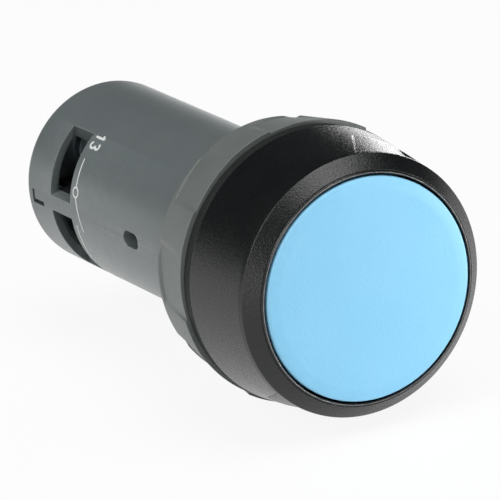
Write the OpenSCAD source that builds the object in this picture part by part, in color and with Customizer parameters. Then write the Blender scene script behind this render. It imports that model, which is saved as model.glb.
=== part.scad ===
// Compact panel push button for a 22 mm hole: flush cap, bezel with threaded bush, nut and terminal barrel.
// The pieces are drawn with z along the button's axis, outward, and zero on the panel's front face.
// The terminal windows face -y. in_panel() then lays the axis along Y, with the cap towards -Y, the
// windows towards -X and terminal 13 above terminal 14.

/* [Panel fit] */
// Diameter over the thread of the bush that passes through the panel
bush_d = 22; // [21.6:0.1:22.4]
// Length of the bush behind the panel's front face
bush_length = 10.5; // [10:0.1:13]
// Length of the plain lead at the bush's end, behind the nut
lead_length = 3.4; // [2.5:0.1:4]
// Thickness of the sealing gasket
gasket_t = 1.2; // [0.8:0.1:1.8]
// How far the gasket's edge stands in from the bezel's edge
gasket_set_in = 0.15; // [0:0.05:1]

/* [Cap] */
// Diameter of the button cap
cap_d = 23.5; // [22:0.1:24]
// Height of the cap's face above the panel
cap_face = 12.45; // [12:0.05:14]
// Thickness of the cap's face
cap_t = 1.6; // [1.2:0.1:2]
// Radius of the cap's rounded edge
cap_edge = 0.5; // [0.2:0.1:0.8]
// How far the button travels when pressed
press_travel = 4; // [3:0.1:4.2]

/* [Bezel] */
// Diameter of the bezel at its front edge
bezel_front_d = 27.9; // [27:0.1:28.6]
// Diameter of the bezel where it meets the gasket
bezel_rear_d = 29.6; // [29:0.1:30]
// Height of the bezel's front edge above the panel
bezel_edge_h = 10.9; // [10.4:0.1:11.4]
// Height of the bezel's lip above the cap's face
lip_rise = 0.05; // [0:0.05:0.4]
// Play round the cap in the bezel
cap_play = 0.4; // [0.3:0.05:0.5]
// Distance from the axis to the bezel's side notches, just behind the front edge
notch_reach = 12.7; // [12.7:0.05:13.4]
// Lean of the side notches against the axis
notch_lean = 14.9; // [10:0.1:18]
// Turn of the side notches from the line of the terminals
notch_turn = 27; // [0:0.5:45]

/* [Nut] */
// How far the nut's front edge stands in from the bezel's edge
nut_set_in = 0.05; // [0:0.05:0.5]
// Wall of the nut at its rear
nut_wall = 2.65; // [2.2:0.05:3]
// Length of the nut
nut_length = 6.8; // [5:0.1:8]
// Height of the lugs above the nut's ring
lug_rise = 0.45; // [0.2:0.05:0.8]
// Width of each lug
lug_w = 3.9; // [3:0.1:5]
// Number of lugs
lug_count = 8; // [6:1:10]

/* [Barrel] */
// Outer diameter of the barrel
barrel_d = 20.3; // [19.8:0.1:20.8]
// Wall of the barrel
barrel_wall = 1.5; // [1.3:0.1:1.7]
// Distance from the panel's front face to the middle of the snap holes
snap_depth = 20.2; // [19.5:0.1:20.4]
// Width of the snap holes
snap_w = 1.7; // [1.3:0.1:2]
// Length of the snap holes
snap_length = 3.2; // [2.4:0.1:3.4]

/* [Terminals] */
// Distance from the panel's front face to the front edge of the wire windows
window_depth = 34; // [33.7:0.1:38]
// Length of the barrel behind the front edge of the wire windows
tail_length = 10.3; // [10.2:0.1:14]
// Length of the wire windows along the barrel
window_length = 4.5; // [4:0.1:5]
// Width of each wire window
window_w = 7; // [6:0.1:7.2]
// Width of the post between the wire windows
window_post = 1.8; // [1.4:0.1:2]
// Thread diameter of the terminal screws
screw_d = 2.9; // [2.4:0.1:3.2]
// Diameter of the terminal screws' heads
screw_head_d = 5.2; // [4.6:0.1:5.3]
// Diameter of the screwdriver holes in the rear cover
driver_d = 4.6; // [4:0.1:4.8]
// Travel of the wire clamps
clamp_travel = 1.8; // [1:0.1:1.8]

/* [Contacts] */
// Open gap between the contact tips
contact_gap = 2.4; // [1.8:0.1:2.6]
// Thickness of the contact bridge
bridge_t = 0.8; // [0.6:0.1:1]
// Thickness of the fixed contact strips
strip_t = 0.8; // [0.6:0.1:1]
// Wire diameter of the return spring
return_wire_d = 0.8; // [0.6:0.1:0.9]
// Wire diameter of the bridge spring
bridge_wire_d = 0.4; // [0.3:0.05:0.45]

/* [Hidden] */
$fn = 96;
eps = 0.01;
// Fits: running fit of a shaft, loose fit of a moulding, air between moving pieces
run_play = 0.05;
fit_play = 0.1;
air = 0.3;
// Sides of the two terminals across the barrel
side_13 = -1;
side_14 = 1;

// Cap and plunger
cap_skirt_t = 1.2;
stem_r = 3.75;
boss_r = 5.3;
collar_r = 6.5;
collar_t = 1.8;
stem_play = 0.15;

// Bezel levels, from the panel outwards
bezel_floor_t = 2.2;
bezel_floor_rise = 1.9;
bezel_edge_flat = 0.1;
notch_rim = 0.35;
bezel_foot_h = 0.4;
bezel_foot_in = 0.15;
bezel_floor_top = gasket_t + bezel_floor_rise;
bezel_floor_under = bezel_floor_top - bezel_floor_t;
bezel_bore_r = cap_d / 2 + cap_play;
gasket_r = bezel_rear_d / 2 - gasket_set_in;
lip_top = cap_face + lip_rise;
lip_w = 0.35;
seal_r = 6;
seal_t = 1.2;
skirt_end = bezel_floor_top + press_travel + air;

// Bush and sleeve behind the panel; the thread's run-out under the gasket is cut back
thread_relief = 0.4;
relief_r = bush_d / 2 - thread_relief;
lead_in = 0.4;
lead_r = bush_d / 2 - lead_in;
bush_bore_r = 8.8;
bush_end_t = 2;
bush_bore_depth = bush_length - bush_end_t;
barrel_r = barrel_d / 2;
barrel_bore_r = barrel_r - barrel_wall;
sleeve_r = barrel_bore_r - run_play;
sleeve_wall = 1.3;
sleeve_bore_r = sleeve_r - sleeve_wall;
sleeve_past_hook = 1.8;
sleeve_end = snap_depth + sleeve_past_hook;
tongue_margin = 0.8;
tongue_w = snap_w + 2 * tongue_margin;
tongue_slit = 0.6;
tongue_length = 4.5;
tongue_root = snap_depth - tongue_length;
hook_depth = 0.75;
hook_root = 0.4;
hook_reach = barrel_r - hook_depth;

// Nut
nut_bore_r = bush_d / 2 + fit_play;
nut_front_r = bezel_rear_d / 2 - nut_set_in;
nut_rear_r = nut_bore_r + nut_wall;
nut_edge = 0.25;
ring_end = 0.15;
lug_end = 1;
lug_end_in = 0.4;
lug_phase = 19.5;

// Contact block levels, as distances behind the panel
deck_set_back = 2.5;
deck_top = bush_length + deck_set_back;
deck_t = 2;
block_gap = 0.2;
block_step = sleeve_end + block_gap;
block_nose_r = sleeve_bore_r - fit_play;
block_r = barrel_bore_r - fit_play;
carrier_gap = 1.6;
carrier_top = deck_top + deck_t + carrier_gap;
carrier_x = 1.9;
carrier_y = 3.2;
carrier_foot_t = 1.2;
chamber_y = carrier_y + air;
carrier_head_t = 2.9;
bridge_room = 5.9;
bridge_spring_seat = carrier_top + carrier_head_t;
bridge_seat = bridge_spring_seat + bridge_room;
bridge_half_w = 1.8;
bridge_reach = 5.4;
tip_r = 1.2;
tip_t = 0.7;
tip_x = 3.9;
tip_left = 0.05;
fixed_tip_top = bridge_seat + tip_t + contact_gap + tip_left;
strip_top = fixed_tip_top + tip_t;
base_top = strip_top + strip_t;
well_depth = max(0.4, bridge_seat + carrier_foot_t + press_travel + air - base_top);

// Terminals: cage, bar of the fixed contact and screw
strip_half_w = 1.5;
cage_wall = 0.8;
cage_far_t = 1;
cage_near_t = 1.2;
cage_half_w = 2.7;
cage_front_y = -5;
cage_back_y = 0.6;
cage_corner = 0.8;
wire_gap = 2.4;
cage_show = 0.6;
cage_slack = 0.2;
cage_far_z = window_depth + cage_show;
bar_front = cage_far_z + wire_gap;
bar_back = bar_front + strip_t;
cage_near_z = bar_back + cage_slack;
cage_end = cage_near_z + cage_near_t;
screw_y = -2.2;
barrel_end = window_depth + tail_length;
cover_t = 1.4;
cover_front = barrel_end - cover_t;
head_t = 1.6;
head_front = cage_end + clamp_travel + fit_play;
head_back = head_front + head_t;
screw_tip = bar_back + run_play;
riser_y = 2.6;
strip_arm_y = -1.6;
strip_bar_y = -4.6;
pocket_x = window_post / 2;
pocket_y = cage_back_y + air;
slot_play = 0.1;
cross_w = 0.8;
cross_reach = 1.7;
cross_depth = 0.9;

// Latch of the rear cover in the barrel's wall, with an L-shaped slit beside it
latch_near = -0.75;
latch_far = 0.95;
latch_length = 2.6;
latch_front = cover_front - latch_length;
latch_slit = 0.5;
latch_back = cover_front - latch_slit / 2 - block_gap;
latch_t = 1;
latch_relief = 1.4;
window_ramp = 1.8;
barrel_edge = 0.6;

// Springs
return_mean_r = 5.2;
return_turns = 6;
bridge_mean_r = 1.15;
bridge_turns = 5;
rings_per_turn = 8;
wire_sides = 6;

// Lays the axis along Y with the cap towards -Y and the windows towards -X
module in_panel() {
    rotate([90, 0, 0])
        rotate([0, 0, -90])
            children();
}

// Turned ring from r_in to r_out between two heights
module ring(r_in, r_out, z_low, z_high) {
    rotate_extrude()
        translate([r_in, z_low])
            square([r_out - r_in, z_high - z_low]);
}

// Box between two corners
module block(low, high) {
    translate(low)
        cube(high - low);
}

// Flat outline with half-round ends, its length along y
module stadium(w, length) {
    square([w, length - w], center = true);
    for (end = [-1, 1])
        translate([0, end * (length - w) / 2])
            circle(d = w);
}

// Flat rectangle with rounded corners between two corners
module rounded(low, high, r) {
    translate([low.x + r, low.y])
        square([high.x - low.x - 2 * r, high.y - low.y]);
    translate([low.x, low.y + r])
        square([high.x - low.x, high.y - low.y - 2 * r]);
    for (x = [low.x + r, high.x - r], y = [low.y + r, high.y - r])
        translate([x, y])
            circle(r);
}

// Extrudes an outline drawn in y and z along x, from x_low to x_high
module along_x(x_low, x_high) {
    translate([x_low, 0, 0])
        rotate([90, 0, 90])
            linear_extrude(x_high - x_low)
                children();
}

// Extrudes an outline drawn in x and z along y, from y_low to y_high
module along_y(y_low, y_high) {
    translate([0, y_high, 0])
        rotate([90, 0, 0])
            linear_extrude(y_high - y_low)
                children();
}

// Middle of a spring's wire at each ring of its tube
function spring_path(mean_r, wire_d, low, high, turns) = [
    for (i = [0 : turns * rings_per_turn])
        let (a = 360 * i / rings_per_turn)
        let (z = low + wire_d / 2 + (high - low - wire_d) * i / (turns * rings_per_turn))
        [mean_r * cos(a), mean_r * sin(a), z]
];

// Least gap between parts of the wire half a turn or more from each other
function spring_gap(path, wire_d) = min([
    for (i = [0 : len(path) - 1], j = [i + rings_per_turn / 2 : 1 : len(path) - 1])
        norm(path[i] - path[j]) - wire_d
]);

// One unbroken tube along a spring's path
module spring(path, wire_d) {
    last = len(path) - 1;
    points = [
        for (i = [0 : last], k = [0 : wire_sides - 1])
            let (a = 360 * i / rings_per_turn)
            let (b = 360 * k / wire_sides)
            path[i] + wire_d / 2 * [cos(b) * cos(a), cos(b) * sin(a), sin(b)]
    ];
    sides = [
        for (i = [0 : last - 1], k = [0 : wire_sides - 1])
            let (n = (k + 1) % wire_sides)
            let (low = i * wire_sides)
            let (high = low + wire_sides)
            each [[low + k, high + k, high + n], [low + k, high + n, low + n]]
    ];
    start = [for (k = [1 : wire_sides - 2]) [0, k, k + 1]];
    tail = last * wire_sides;
    end = [for (k = [1 : wire_sides - 2]) [tail, tail + k + 1, tail + k]];
    polyhedron(points, concat(sides, start, end));
}

// Bezel with its floor, threaded bush and the sleeve that plugs into the barrel
module bezel() {
    color("#17191a")
        in_panel()
            difference() {
                union() {
                    bezel_shell();
                    for (turn = [0, 180])
                        rotate([0, 0, turn])
                            snap_hook();
                }
                for (turn = [0, 180])
                    rotate([0, 0, turn])
                        tongue_slits();
                for (turn = [0, 180])
                    rotate([0, 0, turn - notch_turn])
                        side_notch();
            }
}

module bezel_shell() {
    rotate_extrude()
        polygon([
            [bezel_bore_r, bezel_floor_top],
            [bezel_bore_r, lip_top],
            [bezel_bore_r + lip_w, lip_top],
            [bezel_front_d / 2 - bezel_edge_flat, bezel_edge_h + bezel_edge_flat],
            [bezel_front_d / 2, bezel_edge_h - bezel_edge_flat],
            [bezel_rear_d / 2, gasket_t + bezel_foot_h],
            [bezel_rear_d / 2 - bezel_foot_in, gasket_t],
            [relief_r, gasket_t],
            [relief_r, 0],
            [bush_d / 2, 0],
            [bush_d / 2, -bush_length + lead_length],
            [lead_r, -bush_length + lead_length],
            [lead_r, -bush_length],
            [sleeve_r, -bush_length],
            [sleeve_r, -sleeve_end],
            [sleeve_bore_r, -sleeve_end],
            [sleeve_bore_r, -bush_bore_depth],
            [bush_bore_r, -bush_bore_depth],
            [bush_bore_r, bezel_floor_under],
            [stem_r + stem_play, bezel_floor_under],
            [stem_r + stem_play, bezel_floor_top - seal_t],
            [seal_r, bezel_floor_top - seal_t],
            [seal_r, bezel_floor_top]
        ]);
}

// Snap hook on the sleeve, which fills the barrel's snap hole
module snap_hook() {
    translate([0, 0, -snap_depth])
        along_y(-hook_reach, -sleeve_r + hook_root)
            stadium(snap_w - 2 * fit_play, snap_length - 2 * fit_play);
}

// Slits that free the tongue which carries a snap hook
module tongue_slits() {
    for (side = [-1, 1])
        block(
            [side * (tongue_w + tongue_slit) / 2 - tongue_slit / 2, -sleeve_r - 1, -sleeve_end - 1],
            [side * (tongue_w + tongue_slit) / 2 + tongue_slit / 2, -sleeve_bore_r / 2, -tongue_root]
        );
}

// Notch in the bezel's side: a leaning flat that runs out behind and leaves the front edge whole
module side_notch() {
    half = bezel_rear_d / 2;
    top = bezel_edge_h - notch_rim;
    intersection() {
        translate([notch_reach, 0, top])
            rotate([0, -notch_lean, 0])
                block([0, -half, -bezel_edge_h], [half, half, bezel_edge_h]);
        block([0, -half, 0], [2 * half, half, top]);
    }
}

module panel_gasket() {
    color("#2b2d2e")
        in_panel()
            ring(relief_r + fit_play, gasket_r, 0, gasket_t);
}

// Round nut with lugs for a spanner
module mounting_nut() {
    color("#5f6664")
        in_panel()
            union() {
                nut_form(0, 0, ring_end, ring_end);
                intersection() {
                    nut_form(lug_rise, nut_edge, lug_end, lug_end_in);
                    for (i = [0 : lug_count - 1])
                        rotate([0, 0, lug_phase + 360 / lug_count * i])
                            block(
                                [nut_bore_r, -lug_w / 2, -nut_length],
                                [2 * nut_front_r, lug_w / 2, 0]
                            );
                }
            }
}

// Turned form of the nut's ring, or of the ring that its lugs are cut from
module nut_form(rise, set_back, end, end_in) {
    rotate_extrude()
        polygon([
            [nut_bore_r, 0],
            [nut_front_r + rise - nut_edge, -set_back],
            [nut_front_r + rise, -set_back - nut_edge],
            [nut_rear_r + rise, -nut_length + end],
            [nut_rear_r + rise - end_in, -nut_length],
            [nut_bore_r, -nut_length]
        ]);
}

// Barrel with wire windows, snap holes and the slot for the rear cover's latch
module barrel() {
    color("#5d6367")
        in_panel()
            difference() {
                barrel_tube();
                for (side = [side_13, side_14])
                    wire_window(side);
                for (turn = [0, 180])
                    rotate([0, 0, turn])
                        translate([0, 0, -snap_depth])
                            along_y(-barrel_r - 1, -barrel_bore_r + 1)
                                stadium(snap_w, snap_length);
                block(
                    [latch_near, -barrel_r - 1, -latch_back - latch_slit],
                    [latch_far, -barrel_bore_r + 1, -latch_front]
                );
            }
}

module barrel_tube() {
    rotate_extrude() {
        translate([barrel_bore_r, -barrel_end + barrel_edge])
            square([barrel_wall, barrel_end - barrel_edge - bush_length]);
        translate([barrel_bore_r, -barrel_end])
            square([barrel_wall - barrel_edge, barrel_edge + eps]);
        translate([barrel_r - barrel_edge, -barrel_end + barrel_edge])
            intersection() {
                circle(barrel_edge);
                translate([0, -barrel_edge])
                    square(barrel_edge);
            }
    }
}

// Wire window: an opening with a ramp behind it and bevelled ends
module wire_window(side) {
    near = side * window_post / 2;
    far = side * (window_post / 2 + window_w);
    mid_y = -barrel_r / 2;
    low = min(near, far);
    high = max(near, far);
    along_x(low, high)
        polygon([
            [-barrel_r - 1, -window_depth],
            [mid_y, -window_depth],
            [mid_y, -window_depth - window_length + window_ramp],
            [-barrel_bore_r, -window_depth - window_length + window_ramp],
            [-barrel_r, -window_depth - window_length],
            [-barrel_r - 1, -window_depth - window_length]
        ]);
}

// Cover in the barrel's rear end, with screwdriver holes and a latch
module rear_cover() {
    color("#565c60")
        in_panel() {
            difference() {
                ring(0, barrel_bore_r - run_play, -barrel_end, -cover_front);
                for (side = [side_13, side_14])
                    translate([side * tip_x, screw_y, -barrel_end - 1])
                        cylinder(d = driver_d, h = cover_t + 2);
            }
            cover_latch();
        }
}

module cover_latch() {
    low = latch_near + run_play;
    high = latch_far - latch_slit;
    tip = -latch_front - run_play;
    tongue_r = barrel_bore_r - run_play;
    intersection() {
        ring(tongue_r - latch_t, tongue_r, -cover_front - eps, tip);
        block([low, -barrel_r, -cover_front - eps], [high, 0, tip]);
    }
    intersection() {
        ring(tongue_r - latch_t, barrel_r, -latch_back, tip);
        block([low, -barrel_r, -latch_back], [high, 0, tip]);
    }
}

// Cap: a face with a rounded edge, a skirt and a socket for the plunger
module button_cap() {
    r = cap_d / 2;
    color("#93d0f3")
        in_panel()
            rotate_extrude() {
                translate([0, cap_face - cap_t])
                    square([r - cap_edge, cap_t]);
                translate([r - cap_skirt_t, skirt_end])
                    square([cap_skirt_t, cap_face - cap_edge - skirt_end]);
                translate([r - cap_edge, cap_face - cap_edge])
                    intersection() {
                        circle(cap_edge);
                        square(cap_edge);
                    }
                translate([stem_r + run_play, skirt_end])
                    square([boss_r - stem_r - run_play, cap_face - cap_t - skirt_end + eps]);
            }
}

// Plunger: a stem from the cap's socket to the contact carrier, with the collar that stops it
module plunger() {
    collar_top = bezel_floor_under - fit_play;
    color("#d8d8d2")
        in_panel() {
            ring(0, stem_r, -carrier_top, cap_face - cap_t);
            ring(0, collar_r, collar_top - collar_t, collar_top);
        }
}

module plunger_seal() {
    color("#202223")
        in_panel()
            ring(stem_r + fit_play, seal_r - run_play, bezel_floor_top - seal_t, bezel_floor_top);
}

module return_spring() {
    seat = bezel_floor_under - fit_play - collar_t;
    path = spring_path(return_mean_r, return_wire_d, -deck_top + eps, seat - eps, return_turns);
    echo(return_spring_gap = spring_gap(path, return_wire_d));
    color("#b9bcbd")
        in_panel()
            spring(path, return_wire_d);
}

// Moulded block that guides the plunger and holds the contacts and terminals
module contact_block() {
    color("#3a3d3f")
        in_panel()
            difference() {
                union() {
                    ring(0, block_nose_r, -block_step - eps, -deck_top);
                    ring(0, block_r, -cover_front, -block_step);
                }
                translate([0, 0, -carrier_top - press_travel - air])
                    cylinder(r = stem_r + run_play, h = carrier_top + press_travel);
                block([-barrel_r, -chamber_y, -base_top], [barrel_r, chamber_y, -deck_top - deck_t]);
                block(
                    [-carrier_x - air, -chamber_y, -base_top - well_depth],
                    [carrier_x + air, chamber_y, -base_top + 1]
                );
                for (side = [side_13, side_14])
                    terminal_pocket(side);
                block(
                    [-barrel_r, -barrel_r, -cover_front - 1],
                    [barrel_r, -block_r + latch_relief, -latch_front + air]
                );
            }
}

// Space for one wire clamp, and the slots for its fixed contact
module terminal_pocket(side) {
    near = side * pocket_x;
    far = side * barrel_r;
    slot_near = side * (tip_x - strip_half_w - slot_play);
    slot_far = side * (tip_x + strip_half_w + slot_play);
    block(
        [min(near, far), -barrel_r, -cover_front - 1],
        [max(near, far), pocket_y, -cage_far_z + cage_far_t + air]
    );
    block(
        [min(slot_near, slot_far), riser_y - slot_play, -bar_back - slot_play],
        [max(slot_near, slot_far), riser_y + strip_t + slot_play, -base_top + 1]
    );
    block(
        [min(slot_near, slot_far), 0, -bar_back - slot_play],
        [max(slot_near, slot_far), riser_y + strip_t, -bar_front + slot_play]
    );
}

// Carrier on the plunger's end: a frame that the bridge and its spring sit in
module contact_carrier() {
    foot = bridge_seat + carrier_foot_t;
    color("#c9c9c2")
        in_panel()
            difference() {
                block([-carrier_x, -carrier_y, -foot], [carrier_x, carrier_y, -carrier_top]);
                block(
                    [-carrier_x - 1, -bridge_half_w - run_play, -bridge_seat],
                    [carrier_x + 1, bridge_half_w + run_play, -bridge_spring_seat]
                );
            }
}

module contact_bridge() {
    color("#c58a4a")
        in_panel()
            block(
                [-bridge_reach, -bridge_half_w, -bridge_seat],
                [bridge_reach, bridge_half_w, -bridge_seat + bridge_t]
            );
}

module contact_tip(side, top) {
    color("#d9dadb")
        in_panel()
            translate([side * tip_x, 0, -top - tip_t])
                cylinder(r = tip_r, h = tip_t);
}

module bridge_spring() {
    path = spring_path(
        bridge_mean_r, bridge_wire_d, -bridge_seat + bridge_t + eps, -bridge_spring_seat - eps, bridge_turns
    );
    echo(bridge_spring_gap = spring_gap(path, bridge_wire_d));
    color("#b9bcbd")
        in_panel()
            spring(path, bridge_wire_d);
}

// Strip from the fixed contact tip, through the block, to the bar in the wire clamp
module fixed_contact(side) {
    low = side * tip_x - strip_half_w;
    color("#b98d45")
        in_panel()
            along_x(low, low + 2 * strip_half_w)
                polygon([
                    [strip_arm_y, -strip_top],
                    [riser_y + strip_t, -strip_top],
                    [riser_y + strip_t, -bar_back],
                    [strip_bar_y, -bar_back],
                    [strip_bar_y, -bar_front],
                    [riser_y, -bar_front],
                    [riser_y, -base_top],
                    [strip_arm_y, -base_top]
                ]);
}

// Wire clamp: a bent loop round the bar, with the screw's thread in its rear wall
module terminal_cage(side) {
    x = side * tip_x;
    color("#c4c7c9")
        in_panel()
            difference() {
                along_y(cage_front_y, cage_back_y)
                    difference() {
                        rounded(
                            [x - cage_half_w, -cage_end],
                            [x + cage_half_w, -cage_far_z + cage_far_t],
                            cage_corner
                        );
                        translate([x - cage_half_w + cage_wall, -cage_near_z])
                            square([2 * (cage_half_w - cage_wall), cage_near_z - cage_far_z]);
                    }
                translate([x, screw_y, -cage_end - 1])
                    cylinder(d = screw_d + 2 * run_play, h = cage_near_t + 2);
            }
}

module terminal_screw(side) {
    color("#cfd2d3")
        in_panel()
            translate([side * tip_x, screw_y, 0])
                difference() {
                    union() {
                        ring(0, screw_head_d / 2, -head_back, -head_front);
                        ring(0, screw_d / 2, -head_front - eps, -screw_tip);
                    }
                    for (turn = [45, 135])
                        rotate([0, 0, turn])
                            block(
                                [-cross_reach, -cross_w / 2, -head_back - 1],
                                [cross_reach, cross_w / 2, -head_back + cross_depth]
                            );
                }
}

bezel();
panel_gasket();
mounting_nut();
barrel();
rear_cover();
button_cap();
plunger();
plunger_seal();
return_spring();
contact_block();
contact_carrier();
contact_bridge();
contact_tip(side_13, bridge_seat);  // bridge_tip_13
contact_tip(side_14, bridge_seat);  // bridge_tip_14
bridge_spring();
fixed_contact(side_13);  // fixed_contact_13
fixed_contact(side_14);  // fixed_contact_14
contact_tip(side_13, fixed_tip_top);  // fixed_tip_13
contact_tip(side_14, fixed_tip_top);  // fixed_tip_14
terminal_cage(side_13);  // terminal_cage_13
terminal_cage(side_14);  // terminal_cage_14
terminal_screw(side_13);  // terminal_screw_13
terminal_screw(side_14);  // terminal_screw_14
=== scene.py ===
"""Blender scene of a compact panel push button: its pieces, finishes, light and camera.

Sizes are in millimetres, with the button's axis along Y: a depth is measured behind the panel's
front face, so the cap has negative depths. A turn is measured round the axis from the wire windows
upwards.
"""

import logging
import math
from dataclasses import dataclass
from enum import Enum
from typing import Any, Callable, Iterable, Optional, Sequence, Union

import bmesh
import bpy
from bpy.types import ID, Material, Mesh, NodeSocket, Object, World
from mathutils import Matrix, Vector

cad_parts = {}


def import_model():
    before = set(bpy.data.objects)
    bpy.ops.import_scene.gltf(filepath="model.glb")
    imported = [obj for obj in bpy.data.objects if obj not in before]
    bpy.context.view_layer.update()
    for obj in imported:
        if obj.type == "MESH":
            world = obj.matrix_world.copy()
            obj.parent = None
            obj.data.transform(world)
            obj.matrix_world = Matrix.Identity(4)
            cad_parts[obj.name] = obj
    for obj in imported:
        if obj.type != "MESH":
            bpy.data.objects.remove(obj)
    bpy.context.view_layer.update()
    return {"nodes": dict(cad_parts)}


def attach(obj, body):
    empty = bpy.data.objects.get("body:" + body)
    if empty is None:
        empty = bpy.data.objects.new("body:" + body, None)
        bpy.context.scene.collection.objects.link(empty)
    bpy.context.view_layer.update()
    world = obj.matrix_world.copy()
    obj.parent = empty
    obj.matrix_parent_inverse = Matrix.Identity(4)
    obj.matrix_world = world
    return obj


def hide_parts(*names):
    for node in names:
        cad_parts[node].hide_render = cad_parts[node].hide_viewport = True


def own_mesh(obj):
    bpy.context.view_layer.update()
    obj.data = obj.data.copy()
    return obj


MM = 0.001
EDGE = "edge"
log = logging.getLogger("push_button")

Pair = tuple[float, float]
Triple = tuple[float, float, float]
Colour = Triple
Place = Triple
Number = Union["Value", float]


class Body(Enum):
    """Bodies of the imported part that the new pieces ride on."""

    HOUSING = "housing"
    BUTTON = "button"
    NUT = "nut"
    SCREW_13 = "screw_13"
    SCREW_14 = "screw_14"


class Terminal(Enum):
    """The two terminals, with the side of the axis that each lies on."""

    UPPER = 1
    LOWER = -1

    @property
    def number(self) -> str:
        """The number that marks the terminal."""
        return "13" if self is Terminal.UPPER else "14"


# Shader maths


class Value:
    """One number in a material's nodes; arithmetic on it adds Math nodes."""

    def __init__(self, graph: "Graph", socket: NodeSocket) -> None:
        """Wraps an output socket of a graph."""
        self.graph = graph
        self.socket = socket

    def math(self, operation: str, *terms: Number) -> "Value":
        """Adds a Math node.

        Args:
            operation: Name of the operation.
            terms: Its inputs, in order.

        Returns:
            The result.
        """
        inputs = dict(enumerate(terms))
        return self.graph.node("ShaderNodeMath", {"operation": operation}, inputs)

    def __add__(self, other: Number) -> "Value":
        """Sum of two values."""
        return self.math("ADD", self, other)

    def __sub__(self, other: Number) -> "Value":
        """Difference of two values."""
        return self.math("SUBTRACT", self, other)

    def __rsub__(self, other: Number) -> "Value":
        """Difference with the value on the right."""
        return self.math("SUBTRACT", other, self)

    def __mul__(self, other: Number) -> "Value":
        """Product of two values."""
        return self.math("MULTIPLY", self, other)

    def band(self, low: float, high: float) -> "Value":
        """Smooth step from 0 at low to 1 at high."""
        settings = {"interpolation_type": "SMOOTHSTEP"}
        inputs = {"Value": self, "From Min": low, "From Max": high}
        return self.graph.node("ShaderNodeMapRange", settings, inputs)


class Graph:
    """The nodes of one material or of the world."""

    def __init__(self, owner: Union[Material, World], shader: str) -> None:
        """Starts from an owner's own nodes.

        Args:
            owner: The material or world.
            shader: Name of the node that shades it.
        """
        owner.use_nodes = True
        self.owner = owner
        self.tree = owner.node_tree
        self.shader = self.tree.nodes[shader]

    @classmethod
    def of_material(cls, name: str) -> "Graph":
        """Nodes of a new material."""
        return cls(bpy.data.materials.new(name), "Principled BSDF")

    def node(
        self, kind: str, settings: dict[str, Any], inputs: dict[Any, Any], out: Any = 0
    ) -> Value:
        """Adds any node.

        Args:
            kind: Type of the node.
            settings: Attributes, set first.
            inputs: Values or links of its input sockets, by name or place.
            out: Name or place of the output that is wanted.

        Returns:
            That output.
        """
        made = self.tree.nodes.new(kind)
        for key, setting in settings.items():
            setattr(made, key, setting)
        for key, given in inputs.items():
            self.feed(made.inputs[key], given)
        return Value(self, made.outputs[out])

    def feed(self, socket: NodeSocket, given: Any) -> None:
        """Links a value to a socket, or sets the socket to a number or colour."""
        if isinstance(given, Value):
            self.tree.links.new(given.socket, socket)
        elif socket.type == "RGBA" and len(given) == 3:
            socket.default_value = (*given, 1.0)
        else:
            socket.default_value = given

    def place(self) -> Value:
        """Place on the piece at rest, in millimetres."""
        here = self.node("ShaderNodeTexCoord", {}, {}, "Object")
        return self.node("ShaderNodeVectorMath", {"operation": "SCALE"}, {0: here, "Scale": 1 / MM})

    def noise(self, place: Value, size: float, detail: float = 2.0) -> Value:
        """Noise with features of about a size in millimetres."""
        inputs = {"Vector": place, "Scale": 1 / size, "Detail": detail}
        return self.node("ShaderNodeTexNoise", {}, inputs, "Fac")

    def mix(self, share: Number, low: Any, high: Any) -> Value:
        """Mixes two colours by a share."""
        inputs = {0: share, 6: low, 7: high}
        return self.node("ShaderNodeMix", {"data_type": "RGBA"}, inputs, 2)

    def finish(self, **inputs: Any) -> Union[Material, World]:
        """Feeds the shader's sockets, named with underscores, and returns the owner."""
        for key, given in inputs.items():
            self.feed(self.shader.inputs[key.replace("_", " ")], given)
        return self.owner

    def bump(self, height: Value, depth: float) -> Value:
        """Normal of a surface whose height spans a depth in millimetres."""
        return self.node("ShaderNodeBump", {}, {"Distance": depth * MM, "Height": height}, "Normal")


# Finishes

# Sizes of the broad mottling, the scuffs, the dull patches and the thin specks, in millimetres
MOTTLE = 6.0
SCUFF = 1.1
PATCH = 1.6
SPECK = 0.18
# How a metal's scratches are drawn out along the axis, and their depth in millimetres
DRAWN = (1.0, 0.12, 1.0)
SCRATCH_DEPTH = 0.012


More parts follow.
